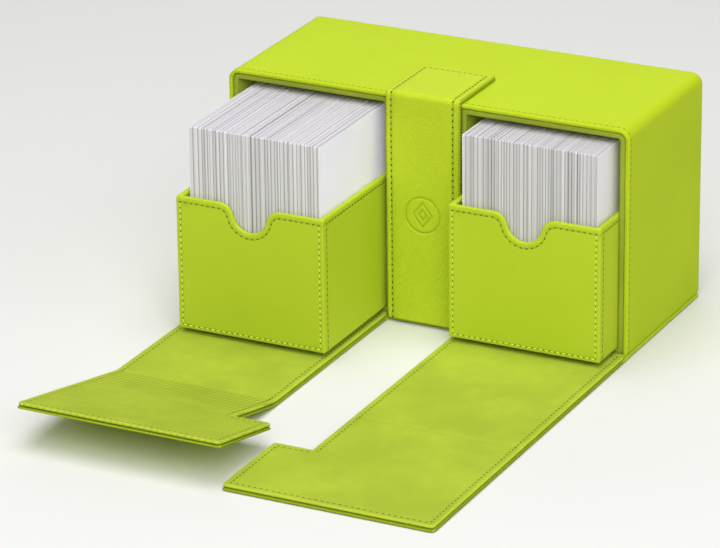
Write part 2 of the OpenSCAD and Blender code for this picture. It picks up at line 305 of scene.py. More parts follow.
def leather_sheet(xs, ss, keep, distance, low, thick, place, radius, corners=(), relief=None,
                  seam=None, square_start=False, belly=0.5, dip=0.0):
    """A flat sheet cut to an outline and laid on a path. At distance d inside the outline it is
    thick * sqrt(1 - (1 - d / radius)^2) thick, so its edges are round, widest at belly times its
    thickness. A plan corner is drawn in to an arc by scaling its square onto a quarter disc.
    place turns across, along, height to x, y, z. seam gives the distance to the seam, where the
    sheet dips on both faces by a bell curve. A square start is cut off flat, not round."""
    across, along = np.meshgrid(xs, ss)
    d = distance(across, along)
    g = np.sqrt(np.clip(1 - (1 - np.clip(d, 0, radius) / radius) ** 2, 0, 1))
    for cx, cs, sx, sy, r in corners:
        a, b = 1 - (across - cx) * sx / r, 1 - (along - cs) * sy / r
        inside = (a > 0) & (b > 0) & (a <= 1.0001) & (b <= 1.0001)
        scale = np.maximum(a, b) / np.maximum(np.hypot(a, b), 1e-9)
        across = np.where(inside, cx + sx * r * (1 - a * scale), across)
        along = np.where(inside, cs + sy * r * (1 - b * scale), along)
    extra = relief(d, across, along) if relief else 0.0
    sewn = seam(across, along) if seam else np.full(d.shape, FAR)
    dent = dip * np.exp(-((sewn / SEAM_BELL) ** 2))
    upper = low + thick * belly + (thick * (1 - belly) + extra - dent) * g
    lower = low + thick * belly - (thick * belly - dent) * g
    rows, columns = across.shape
    cells = keep((xs[:-1] + xs[1:])[None, :] / 2, (ss[:-1] + ss[1:])[:, None] / 2)
    cells = np.broadcast_to(cells, (rows - 1, columns - 1))
    quads = grid_faces(rows, columns)[cells.reshape(-1)]
    count = rows * columns
    walls = []
    if square_start:
        i = np.nonzero(cells[0])[0]
        walls = [joined(i, i + 1, i + 1 + count, i + count)]
    points = [place(across, along, height).reshape(-1, 3) for height in (upper, lower)]
    uv = np.tile(joined(across, along).reshape(-1, 2), (2, 1))
    quads = np.concatenate([quads, quads[:, ::-1] + count] + walls)
    return shell(np.concatenate(points), quads, uv, np.tile(sewn.reshape(-1), 2),
                 edge=np.tile(d.reshape(-1), 2))


def sampled(path, pitch):
    """Points every pitch along a polyline, with the direction there, and the ends between them."""
    path = np.asarray(path, float)
    steps = np.linalg.norm(np.diff(path, axis=0), axis=1)
    path, steps = path[np.concatenate([[True], steps > 1e-6])], steps[steps > 1e-6]
    reach = np.concatenate([[0], np.cumsum(steps)])
    count = max(1, int(round(reach[-1] / pitch)))

    def at(s):
        return np.stack([np.interp(s, reach, path[:, k]) for k in range(path.shape[1])], -1)

    middles = (np.arange(count) + 0.5) * reach[-1] / count
    ends = np.arange(count + 1) * reach[-1] / count
    e = pitch / 3
    return at(middles), at(middles + e) - at(middles - e), at(ends)


def beads(centres, along, up, size, material):
    """Small lozenges: rings of six at -0.75, 0 and 0.75 of the half length, closed at both tips."""
    sides = 6
    t = along / np.linalg.norm(along, axis=1, keepdims=True)
    n = up - (up * t).sum(1, keepdims=True) * t
    n /= np.linalg.norm(n, axis=1, keepdims=True)
    b = np.cross(n, t)
    a = np.array([-1, -0.75, 0, 0.75, 1])
    r = np.array([0, 0.8, 1, 0.8, 0])
    turn = np.arange(sides) * math.tau / sides
    local = joined(a[:, None], r[:, None] * np.cos(turn), r[:, None] * np.sin(turn))
    local = local.reshape(-1, 3) * np.array(size) / 2
    points = centres[:, None] + local @ np.stack([t, b, n], 1)
    count = len(a) * sides
    starts = (np.arange(len(centres)) * count)[:, None, None]
    quads = grid_faces(len(a), sides, wrap=True)[None] + starts
    return shell(points, quads, np.zeros((len(centres) * count, 2)), material=material)


def stitch_run(path, place, height, look, kind):
    """Threads along a path of (across, along) points, with a needle hole between each pair."""
    thread, share, width, rise, hole, hole_length, hole_width = SEAMS[kind]
    pitch = look.stitch_pitch / MM
    middle, aim, ends = sampled(path, pitch)
    wide, gape = look.thread_width / MM / THREAD_W, look.hole_width / MM / HOLE_W
    size = (pitch * share, width * wide, rise * wide)
    steps = np.arange(len(aim)) + 0.5
    end_aim = np.stack([np.interp(np.arange(len(ends)), steps, aim[:, k]) for k in (0, 1)], -1)

    def frame_at(p, step):
        """Each point's place, its direction along the seam and its direction out of the sheet."""
        here = place(*p.T, height)
        return here, place(*(p + step * 0.2).T, height) - here, place(*p.T, height + 0.1) - here

    hole_size = (hole_length * gape, hole_width * gape, 0.1)
    return [beads(*frame_at(middle, aim), size, thread),
            beads(*frame_at(ends, end_aim), hole_size, hole)]


def stitched(name, runs, look, body=None):
    """One piece of all the threads and holes of some seams."""
    piece = make_piece(name, runs, look, SEAM_FINISHES)
    if body:
        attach(piece, body)
    return piece


def round_loop(low, high, radii, count=6, sides=8):
    """A closed rectangle with round corners: lower left, lower right, upper right, upper left."""
    corners = ((low[0], low[1], 1, 1), (high[0], low[1], -1, 1),
               (high[0], high[1], -1, -1), (low[0], high[1], 1, -1))
    arcs = []
    for i, ((x, z, sx, sz), r) in enumerate(zip(corners, radii)):
        turn = np.linspace(0, math.pi / 2, count) + math.pi + i * math.pi / 2
        arcs.append(joined(x + sx * r + r * np.cos(turn), z + sz * r + r * np.sin(turn)))
    loop = []
    for arc, after in zip(arcs, arcs[1:] + arcs[:1]):
        a, b = arc[-1], after[0]
        loop += [arc, a + (b - a) * np.linspace(0, 1, sides + 2)[1:-1, None]]
    return np.concatenate(loop)


# Materials


def linear(colour):
    """Display colour to the linear values that a shader works in."""
    c = np.array(colour, float)
    return tuple(np.where(c <= 0.04045, c / 12.92, ((c + 0.055) / 1.055) ** 2.4)) + (1.0,)


class Finish:
    """A new material of one colour, with helpers that add nodes and mix shades into it."""

    def __init__(self, name, colour, roughness, **sockets):
        self.material = bpy.data.materials.new(name)
        self.material.use_nodes = True
        self.tree = self.material.node_tree
        self.shader = self.tree.nodes["Principled BSDF"]
        self.feed(self.shader.inputs["Roughness"], roughness)
        for key, value in sockets.items():
            self.feed(self.shader.inputs[key.replace("_", " ")], value)
        self.base, self.shade, self.normal = linear(colour), None, None
        place = self.tree.nodes.new("ShaderNodeTexCoord")
        self.object, self.uv = place.outputs["Object"], place.outputs["UV"]

    def feed(self, socket, value):
        """Joins another node's output to a socket, or sets the socket to a plain value."""
        if isinstance(value, bpy.types.NodeSocket):
            self.tree.links.new(value, socket)
        else:
            socket.default_value = value

    def add(self, kind, values, **options):
        node = self.tree.nodes.new(kind)
        for key, value in options.items():
            setattr(node, key, value)
        for key, value in values.items():
            self.feed(node.inputs[key], value)
        return node

    def noise(self, scale, detail=3.0, roughness=0.5, vector=None):
        return self.add("ShaderNodeTexNoise",
                        {"Vector": vector or self.object, "Scale": scale, "Detail": detail,
                         "Roughness": roughness}).outputs["Fac"]

    def maths(self, operation, a, b=0.0):
        return self.add("ShaderNodeMath", {0: a, 1: b}, operation=operation).outputs[0]

    def ramp(self, value, low, high, to_low=0.0, to_high=1.0, smooth=True):
        values = {"Value": value, "From Min": low, "From Max": high, "To Min": to_low,
                  "To Max": to_high}
        kind = "SMOOTHSTEP" if smooth else "LINEAR"
        return self.add("ShaderNodeMapRange", values, interpolation_type=kind).outputs["Result"]

    def twill(self, slope_x, slope_y, pitch):
        """Slanted lines on the uv map: sin of the uv position measured across the lines."""
        size = math.hypot(slope_x, slope_y) * pitch / math.tau
        dot = self.add("ShaderNodeVectorMath", {0: self.uv, 1: (slope_x / size, slope_y / size, 0)},
                       operation="DOT_PRODUCT")
        return self.maths("SINE", dot.outputs["Value"])

    def mark(self, name):
        """A number that the mesh stores for each point under a name."""
        return self.add("ShaderNodeAttribute", {}, attribute_name=name).outputs["Fac"]

    def mix(self, factor, scale, start=1.0):
        """Mixes the base colour times scale into the shade by factor. Before the first mix the
        shade is the base colour times start."""
        node = self.add("ShaderNodeMix", {}, data_type="RGBA")
        self.feed(node.inputs[0], factor)
        self.feed(node.inputs[6], self.shade or scaled(self.base, start))
        self.feed(node.inputs[7], scaled(self.base, scale))
        self.shade = node.outputs[2]

    def bump(self, height, distance):
        values = {"Height": height, "Distance": distance, "Strength": 1.0}
        if self.normal:
            values["Normal"] = self.normal
        self.normal = self.add("ShaderNodeBump", values).outputs["Normal"]

    def done(self):
        self.feed(self.shader.inputs["Base Color"], self.shade or self.base)
        if self.normal:
            self.feed(self.shader.inputs["Normal"], self.normal)
        return self.material


def scaled(colour, factor):
    """A colour times a factor, no part above 1."""
    return tuple(min(1.0, c * factor) for c in colour[:3]) + (1.0,)


def skin_finish(name, colour, ribs, grain, ticks=0.0, pressing=0.22, turned=0.0, lip=0.0,
                worn=None):
    """Grained covering: slanted ribs, each (slope x, slope y, pitch, shade, depth), pores of a
    shade and depth, broad colour drift, a pressed seam, and short dark ticks along a turned edge,
    which has painted shade where it turns under. Worn ribs fade along an axis, from a place to a
    place, to a share."""
    f = Finish(name, colour, 0.6, Specular_IOR_Level=0.04)
    f.mix(f.ramp(f.noise(22.0, 2.0), 0.3, 0.7), 1.015, start=0.985)
    for slope_x, slope_y, pitch, dark, depth in ribs:
        lines = f.twill(slope_x, slope_y, pitch)
        if worn:
            axis, begin, stop, share = worn
            along = f.add("ShaderNodeSeparateXYZ", {0: f.object}).outputs[axis]
            lines = f.maths("MULTIPLY", lines, f.ramp(along, begin, stop, 1.0, share))
        f.mix(f.ramp(lines, -1.0, 1.0, dark, 0.0), 0.55)
        f.bump(lines, depth)
    pores = f.noise(2100.0, 2.0, 0.55)
    f.mix(f.ramp(pores, 0.3, 0.52, grain[0], 0.0), 0.7)
    f.bump(pores, grain[1])
    pressed = f.ramp(f.mark("seam"), 0.0, 0.8, 1.0, 0.0)
    f.mix(f.maths("MULTIPLY", pressed, pressing), 0.6)
    f.bump(pressed, -0.0002)
    if ticks:
        comb = f.maths("MAXIMUM", f.twill(1.0, 0.0, 0.0013), f.twill(0.0, 1.0, 0.0013))
        comb = f.maths("MULTIPLY", f.ramp(comb, 0.2, 0.95),
                       f.ramp(f.mark("edge"), 0.3, 1.1, 1.0, 0.0))
        f.mix(f.maths("MULTIPLY", comb, ticks), 0.42)
        f.bump(comb, -0.00015)
    if lip:
        f.bump(f.ramp(f.mark("edge"), 0.2, RIM_SEAM, smooth=False), lip)
    # Painted shade: the turned edge is darkened where the sheet turns under.
    if turned:
        f.mix(f.ramp(f.mark("edge"), 0.05, 0.5, turned, 0.0), 0.45)
    return f.done()


def suede_finish(name, colour, rib_depth=0.0):
    """Brushed lining: clouded nap, fine fibres, a paler edge that is a painted highlight where the
    sheet rounds over, a pressed seam and, if asked for, two sets of faint ribs: one near the
    crease, and one that takes over further out."""
    f = Finish(name, colour, 0.95, Specular_IOR_Level=0.05)
    narrow = f.noise(170.0, 4.0, 0.6)
    nap = f.noise(1500.0, 3.0, 0.6)
    f.mix(f.ramp(f.noise(34.0, 3.0, 0.55), 0.32, 0.68), 1.07, start=0.9)
    f.mix(f.ramp(narrow, 0.35, 0.7, 0.26, 0.0), 0.84)
    f.mix(f.ramp(nap, 0.3, 0.7, 0.24, 0.0), 0.8)
    # Painted highlight: the suede is paler along its rounded edge.
    f.mix(f.ramp(f.mark("edge"), 0.1, 1.1, 0.5, 0.0), 1.35)
    pressed = f.ramp(f.mark("seam"), 0.0, 0.9, 1.0, 0.0)
    f.mix(f.maths("MULTIPLY", pressed, 0.2), 0.7)
    if rib_depth:
        near = f.maths("MULTIPLY", f.twill(0.99, -0.12, 0.00288), f.mark("crease_ribs"))
        far = f.maths("MULTIPLY", f.twill(0.95, -0.31, 0.003), f.mark("tip_ribs"))
        ribs = f.maths("ADD", near, far)
        f.mix(f.ramp(ribs, -1.0, 0.0, 0.6, 0.0, smooth=False), 0.7)
        f.bump(ribs, rib_depth)
    f.bump(narrow, 0.0002)
    f.bump(nap, 0.00009)
    f.bump(pressed, -0.00018)
    return f.done()


def plain_finish(name, colour, roughness, fleck=0.1, scale=900.0, depth=0.00002, **sockets):
    """One colour with fine flecks of a darker tone and a shallow bump from the same noise."""
    f = Finish(name, colour, roughness, **sockets)
    grain = f.noise(scale)
    f.mix(f.ramp(grain, 0.3, 0.6, fleck, 0.0), 0.6)
    f.bump(grain, depth)
    return f.done()


def card_finish(name, colour, darkest, painted_glow=0.0):
    """Card stock and clear sleeves: each card has its own shade, with faint streaks along it; the
    darker shades are painted shade among the sleeves. Where the shade mark nears 1, on the
    outermost faces, the card glows blue-white: a painted light that brightens those faces."""
    f = Finish(name, colour, 0.5, Specular_IOR_Level=0.2, Emission_Color=(0.42, 0.34, 1.0, 1.0))
    stretch = f.add("ShaderNodeMapping", {"Vector": f.object, "Scale": (2500.0, 60.0, 60.0)})
    streak = f.noise(1.0, 2.0, vector=stretch.outputs["Vector"])
    f.mix(f.mark("shade"), 1.0, start=darkest)
    f.mix(f.ramp(streak, 0.35, 0.65, 0.10, 0.0), 0.7)
    f.bump(streak, 0.00002)
    # Painted light: the outermost card faces glow blue-white, though nothing there is a lamp.
    if painted_glow:
        f.feed(f.shader.inputs["Emission Strength"],
               f.ramp(f.mark("shade"), 0.95, 1.0, 0.0, painted_glow, smooth=False))
    return f.done()


def finishes(look):
    """All materials of the case by name, made once."""
    if "case_grain" not in bpy.data.materials:
        skin_finish("case_grain", look.skin_colour, [(0.557, 0.398, 0.00146, 0.1, 4.5e-5)],
                    (0.12, 3e-5), lip=0.0008, worn=("X", -0.07, 0.05, 0.25))
        skin_finish("strap_grain", look.strap_colour,
                    [(0.72, -0.69, 0.001, 0.4, 4e-5), (0.72, 0.69, 0.001, 0.32, 3e-5)], (0.5, 6e-5),
                    ticks=0.7, pressing=0.6, turned=0.65, worn=("Z", 0.1065, 0.1082, 0.35))
        skin_finish("tray_grain", look.tray_colour, [(0.8, 1.0, 0.00125, 0.02, 8e-6)], (0.07, 2e-5))
        skin_finish("lid_grain", look.skin_colour, [(1.0, 1.0, 0.00146, 0.07, 3e-5)], (0.12, 3e-5),
                    ticks=0.9, turned=0.3)
        suede_finish("lid_suede", look.suede_colour)
        suede_finish("ribbed_suede", look.suede_colour, 6e-5)
        suede_finish("bay_suede", look.bay_colour)
        # Painted shade: the bay frame's suede is a darker copy of the bay's, for the shade under
        # the rim.
        suede_finish("frame_suede", tuple(0.88 * c for c in look.bay_colour))
        plain_finish("bright_thread", look.thread_colour, 0.6, 0.25, 2500.0, 0.00004)
        plain_finish("olive_thread", look.dark_thread_colour, 0.7, 0.25, 2500.0, 0.00004)
        # Painted shade: the holes are dark beads that stand in for the shade inside needle holes,
        # paler for shallow ones.
        plain_finish("needle_hole", look.hole_colour, 0.95, Specular_IOR_Level=0.0)
        plain_finish("soft_hole", look.soft_hole_colour, 0.95, Specular_IOR_Level=0.0)
        plain_finish("suede_thread", look.suede_colour, 0.9, 0.25, 2500.0, 0.00004)
        # Dark core colour; on the case's boards it is painted shade in the groove round the bay
        # frames.
        plain_finish("lid_core", look.core_colour, 0.85, 0.2, 700.0)
        plain_finish("grey_board", look.board_colour, 0.9, 0.25, 450.0, 0.00004)
        plain_finish("magnet_steel", (0.75, 0.76, 0.78), 0.35, 0.1, 1200.0, Metallic=1.0)
        plain_finish("pad_foam", (0.86, 0.86, 0.82), 0.95, 0.3, 1500.0, 0.0001)
        card_finish("sleeved_card", look.card_colour, 0.22, painted_glow=0.18)
        # Painted shade: the card tops are a darker copy of the sleeved card, for the shade between
        # the sleeves.
        card_finish("card_tops", tuple(0.88 * c for c in look.card_colour), 0.62)
    return bpy.data.materials


# Sizes and colours that a user would change


def colour_property(name, words, value):
    return FloatVectorProperty(name=name, description=words, default=value, size=3, min=0, max=1,
                               subtype="COLOR_GAMMA")


def length_property(name, words, value, low, high):
    return FloatProperty(name=name, description=words, default=value, min=low, max=high,
                         unit="LENGTH", precision=5)


def power_property(name, words, value):
    return FloatProperty(name=name, description=words, default=value, min=0, unit="POWER")


class CoverLook(bpy.types.PropertyGroup):
    """Stitching and colours of the covering."""

    stitch_pitch: length_property(
        "Stitch Pitch", "Length from one needle hole to the next", 0.00275, 0.001, 0.01)
    thread_width: length_property(
        "Thread Width", "Width of the sewing thread", THREAD_W * MM, 0.0002, 0.002)
    hole_width: length_property(
        "Hole Width", "Width of a needle hole", HOLE_W * MM, 0.0002, 0.002)
    skin_colour: colour_property("Skin", "Colour of the grained covering", (0.745, 0.83, 0.15))
    strap_colour: colour_property(
        "Strap Skin", "Colour of the strap's ribbed covering", (0.81, 0.893, 0.2))
    tray_colour: colour_property(
        "Tray Skin", "Colour of the trays' covering", (0.745, 0.825, 0.2))
    suede_colour: colour_property("Lid Suede", "Colour of the lids' lining", (0.685, 0.752, 0.235))
    bay_colour: colour_property(
        "Bay Suede", "Colour of the lining inside the bays and trays", (0.70, 0.765, 0.25))
    thread_colour: colour_property(
        "Bright Thread", "Colour of the thread on the tray fronts", (0.88, 0.95, 0.34))
    dark_thread_colour: colour_property(
        "Dark Thread", "Colour of the thread elsewhere", (0.68, 0.76, 0.14))
    # Painted shade: the hole colours stand for the shade inside the needle holes.
    hole_colour: colour_property(
        "Needle Hole", "Colour inside the needle holes", (0.29, 0.34, 0.03))
    soft_hole_colour: colour_property(
        "Soft Hole", "Colour of the shallow holes in strap, rims and walls", (0.46, 0.51, 0.08))
    core_colour: colour_property(
        "Lid Core", "Colour of the board edge between skin and suede", (0.42, 0.48, 0.09))
    board_colour: colour_property("Board", "Colour of the bare board", (0.55, 0.53, 0.48))
    # The card colour leans a little to magenta to offset the green light bounced onto the cards: a
    # painted correction of light.
    card_colour: colour_property("Card", "Colour of the sleeved cards", (0.99, 0.975, 1.0))


class DeckLook(bpy.types.PropertyGroup):
    """The cards that stand in the trays."""

    card_count: IntProperty(name="Cards", description="Sleeved cards in each deck", default=98,
                            min=20, max=200)
    seed: IntProperty(name="Seed", description="Start of the random order of the cards", default=7,
                      min=0)
    unevenness: length_property(
        "Unevenness", "How far cards stand out of line", 0.00022, 0, 0.001)


class StudioLook(bpy.types.PropertyGroup):
    """Floor and lamps."""

    floor_colour: colour_property("Floor", "Colour of the floor and backdrop", (0.90, 0.90, 0.89))
    ambient: FloatProperty(name="Ambient", description="Strength of the even light from all sides",
                           default=0.12, min=0)
    top_power: power_property("Top", "Power of the large lamp overhead", 16.3)
    fill_power: power_property("Fill", "Power of the wide lamp above the camera", 22.4)
    right_power: power_property("Right", "Power of the lamp at the right", 3.2)
    rear_power: power_property("Rear", "Power of the wide lamp behind", 7.0)


# Places


def on_floor(x, y, h):
    """A flat sheet on the floor: across is x, along is y, height is z."""
    return joined(x, y, h)


def lid_place(side):
    """Lid sheets run forward from the hinge and bend up by the tip's tilt round the crease. The
    direction turns by the tilt over the crease's width, and its path is summed in small steps."""
    s = np.linspace(-5, 260, 5301)
    angle = TIP_TILT[side] * ease((s - CREASE_S + CREASE_HALF) / (2 * CREASE_HALF))
    turn, step = (angle[1:] + angle[:-1]) / 2, s[1] - s[0]
    y = HINGE_Y - np.concatenate([[0], np.cumsum(np.cos(turn) * step)]) - s[0]
    z = LID_TOP / 2 + np.concatenate([[0], np.cumsum(np.sin(turn) * step)])

    def place(x, along, h):
        a = np.interp(along, s, angle)
        off = h - LID_TOP / 2
        return joined(x, np.interp(along, s, y) + off * np.sin(a),
                      np.interp(along, s, z) + off * np.cos(a))

    return place


def strap_place(x, along, h):
    """Up the case's front, round its top edge and back over the top: along is the length of the
    path at half thickness, and height is measured out of the case."""
    rise = TOP - STRAP_LOW[2]
    turn = np.clip((along - rise) / STRAP_BEND_R, 0, math.pi / 2)
    over = np.clip(along - rise - STRAP_BEND_R * math.pi / 2, 0, None)
    up = STRAP_LOW[2] + np.minimum(along, rise)
    return joined(x, FRONT - h * np.cos(turn) + over, up + h * np.sin(turn))


# Pieces


def case_cover(look):
    """The outline of sides and top, carried back from a round front rim to a round back edge. At
    its foot the outline is tucked in along a quarter of an ellipse."""
    r, half = EDGE_R, SKIN_T / 2
    foot = [0, 0.25, 0.55, 0.9, 1.4, 2.0]
    rise = np.concatenate([foot, np.linspace(3, TOP - r - BASE_T, 14)]) + BASE_T
    turn = np.linspace(0, math.pi / 2, 10)
    sin, cos = np.sin(turn), np.cos(turn)
    level = np.linspace(-HALF_W + r, HALF_W - r, 26)[1:-1]
    one, none, flat = np.ones(len(rise)), np.zeros(len(rise)), np.zeros(len(level))
    x = np.concatenate([-HALF_W * one, -HALF_W + r - r * cos, level, HALF_W - r + r * sin,
                        HALF_W * one])
    z = np.concatenate([rise, TOP - r + r * sin, flat + TOP, TOP - r + r * cos, rise[::-1]])
    nx = np.concatenate([-one, -cos, flat, sin, one])
    nz = np.concatenate([none, sin, flat + 1, cos, none])
    rim = np.linspace(0, math.pi, 9)
    back = np.linspace(0, math.pi / 2, 5)
    seams = FRONT + RIM_SEAM + np.array([-1.0, 0, 1.0])
    plain = np.linspace(FRONT + 6, BACK - BACK_EDGE_R - 1, 10)
    inset = np.concatenate([[SKIN_T], half + half * np.cos(rim), np.zeros(3 + len(plain)),
                            BACK_EDGE_R * (1 - np.cos(back))])
    y = np.concatenate([[BACK - SKIN_T], FRONT + half - half * np.sin(rim), seams, plain,
                        BACK - BACK_EDGE_R + BACK_EDGE_R * np.sin(back)])
    up = np.clip((z - BASE_T) / TUCK_UP, 0, 1)
    tuck = TUCK_IN * (1 - np.sqrt(1 - (1 - up) ** 2))
    draw = inset[:, None] + (1 - np.minimum(inset, SKIN_T) / SKIN_T)[:, None] * tuck[None, :]
    points = joined(x - nx * draw, y[:, None], z - nz * draw)
    run = run_along(x, z)
    uv = joined(run, y[:, None])
    rows, columns = points.shape[:2]
    inside = np.where(inset >= half, PAST_RIM, 0)
    seam = np.repeat(np.abs(y - FRONT - RIM_SEAM) + inside, columns)
    edge = np.repeat(y - FRONT + inside, columns)
    left, ring = np.arange(rows) * columns, np.arange(columns)
    caps = [ring, (rows - 1) * columns + ring[::-1],
            np.concatenate([left, (left + columns - 1)[::-1]])]
    cover = make_piece("case_cover",
                       [shell(points, grid_faces(rows, columns), uv, seam, caps, edge=edge)],
                       look, ["case_grain"], sharp=50)
    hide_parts("case_skin")
    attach(cover, "case")
    path = joined(run, FRONT + RIM_SEAM)[3:-3]

    def place(along, depth, h):
        px, pz, ax, az = (np.interp(along, run, values) for values in (x, z, nx, nz))
        return joined(px + ax * h, depth, pz + az * h)

    stitched("case_rim_stitches", stitch_run(path, place, 0.02, look, "case"), look, "case")


def base_sheet(look):
    """The skin under the case: a sheet with round side and back edges and a square front edge."""
    steps = np.concatenate([round_steps(BASE_EDGE_R), [0.9, 1.4, 2.0]])
    xs = lines_between(-HALF_W, HALF_W, steps, steps, 9)
    ys = lines_between(FRONT, BACK, [0, 1], steps, 9)

    def distance(x, y):
        return np.minimum.reduce([x + HALF_W, HALF_W - x, BACK - y])

    corners = [(x, BACK, -np.sign(x), -1, SHEET_CORNER_R) for x in (-HALF_W, HALF_W)]
    sheet = leather_sheet(xs, ys, lambda x, y: x < HALF_W, distance, 0.0, BASE_T, on_floor,
                          BASE_EDGE_R, corners, square_start=True)
    piece = make_piece("base_cover", [sheet], look, ["case_grain"], sharp=50)
    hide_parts("base_skin")
    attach(piece, "case")


def bay_frame(look, side, sign):
    """A round bar that covers the board edges round one bay: a loop between the bay's mouth and
    the skin. Across it t runs from -1 to 1, and it bulges forward by (1 - |t|^3)^(1/3)."""
    inner_low, inner_high = LINING_LOW[[0, 2]] + LINING_T, LINING_HIGH[[0, 2]] - LINING_T
    width = HALF_W - SKIN_T - inner_high[0] - BAR_GAP
    outer = round_loop(inner_low - width, inner_high + width, (0.5, 0.5, EDGE_R - SKIN_T, 0.5))
    inner = round_loop(inner_low, inner_high, (1.2, 1.2, 1.4, 1.2))
    v = (1 - np.cos(np.linspace(0, math.pi, 11))) / 2
    bulge = np.clip(1 - np.abs(2 * v - 1) ** 3, 0, 1) ** (1 / 3) * BAR_BULGE
    loops = outer[None] + (inner - outer)[None] * v[:, None, None]
    y = FRONT + BAR_FRONT - bulge
    points = joined(loops[..., 0] * sign, y[:, None], loops[..., 1])
    back = points[[0, -1]].copy()
    back[..., 1] = FRONT + BAR_BACK
    points = np.concatenate([back[:1], points, back[1:]])
    rows, columns = points.shape[:2]
    behind = grid_faces(2, columns, wrap=True)
    behind = np.where(behind < columns, behind, behind + (rows - 2) * columns)
    quads = np.concatenate([grid_faces(rows, columns, wrap=True), behind])
    piece = make_piece(side + "_bay_frame", [shell(points, quads, points[..., [0, 2]])], look,
                       ["frame_suede"], sharp=60)
    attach(piece, "case")


def strap(look):
    """The padded strap: a sheet laid up the front and over the top. Outside its seam it is flat
    and thin, and inside it rises to a full pad. A ring with two nested rhombuses is pressed into
    it by bell curves across their outlines."""
    half = STRAP_HIGH[0]
    rise = TOP - STRAP_LOW[2]
    bend = STRAP_BEND_R * math.pi / 2
    length = rise + bend + STRAP_HIGH[1] - FRONT
    steps = np.concatenate([round_steps(STRAP_EDGE_R), [1.3, 1.8, 2.25, STRAP_SEAM, 3.15,
                                                        STRAP_RIGHT_SEAM, 3.9, 4.4, 5.2, 6.2]])
    mark = np.arange(-MARK_R - 1.2, MARK_R + 1.3, 0.4)
    xs = lines_between(-half, half, steps, steps, 3)
    xs = np.unique(np.concatenate([xs[np.abs(xs) > mark[-1]], mark]))
    ss = lines_between(0, length, steps, steps, 3)
    ss = ss[((ss < rise) | (ss > rise + 2.1)) & (np.abs(ss - MARK_S) > mark[-1])]
    ss = np.unique(np.concatenate([ss, MARK_S + mark, rise + np.linspace(0, bend, 9)]))

    def distance(x, s):
        return np.minimum.reduce([x + half, half - x, s, length - s])

    def past_seam(x, s):
        return np.minimum.reduce([x + half - STRAP_SEAM, half - x - STRAP_RIGHT_SEAM,
                                  length - s - STRAP_SEAM])

    def sewn(x, s):
        ring = np.abs(np.hypot(x, s - MARK_S) - MARK_R)
        level = np.abs(x) / MARK_W + np.abs(s - MARK_S) / MARK_H
        rhombus = np.minimum(np.abs(level - 1), np.abs(level - MARK_INNER)) * MARK_STEEP
        return np.minimum.reduce([np.abs(past_seam(x, s)), ring, rhombus])

    def relief(d, x, s):
        return STRAP_PAD * ease(past_seam(x, s) / 3.0)

    flat = STRAP_T - STRAP_PAD + 0.1
    corners = [(x, s, -np.sign(x), sy, r) for x in (-half, half)
               for s, sy, r in ((0, 1, 1.0), (length, -1, 2.0))]
    sheet = leather_sheet(xs, ss, lambda x, s: x < half, distance, STRAP_LIFT, flat, strap_place,
                          STRAP_EDGE_R, corners, relief, sewn, belly=0.3, dip=STRAP_DIP)
    piece = make_piece("padded_strap", [sheet], look, ["strap_grain"], sharp=60)
    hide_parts("strap_skin", "strap_pad")
    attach(piece, "case")
    loop = round_loop((STRAP_SEAM - half, -9), (half - STRAP_RIGHT_SEAM, length - STRAP_SEAM),
                      (1.2, 1.2, 1.2, 1.2), sides=2)
    loop = loop[loop[:, 1] >= 0]
    loop = np.concatenate([[[loop[0, 0], 0.8]], loop, [[loop[-1, 0], 0.8]]])
    runs = stitch_run(loop, strap_place, flat - 0.12, look, "strap")
    stitched("strap_stitches", runs, look, "case")


def notch_curve():
    """Front rim of a tray as (x, z) from its middle and top, with its outward direction: flat, a
    quarter turn over each lip, and a round notch that the lips meet tangentially."""
    lip_z, centre_z = -NOTCH_LIP_R, NOTCH_R - NOTCH_DEPTH
    lip_x = math.sqrt((NOTCH_R + NOTCH_LIP_R) ** 2 - (lip_z - centre_z) ** 2)
    slope = math.atan2(centre_z - lip_z, lip_x)

    def arc(x, z, radius, out, begin, stop, count):
        turn = np.linspace(begin, stop, count)
        cos, sin = np.cos(turn), np.sin(turn)
        return joined(x + radius * cos, z + radius * sin, out * cos, out * sin)

    lip = arc(-lip_x, lip_z, NOTCH_LIP_R, 1, math.pi / 2, slope, 10)
    bowl = arc(0, centre_z, NOTCH_R, -1, math.pi + slope, math.pi * 1.5, 16)[1:]
    half = np.concatenate([lip, bowl])
    return np.concatenate([half, half[:-1][::-1] * [-1, 1, -1, 1]])


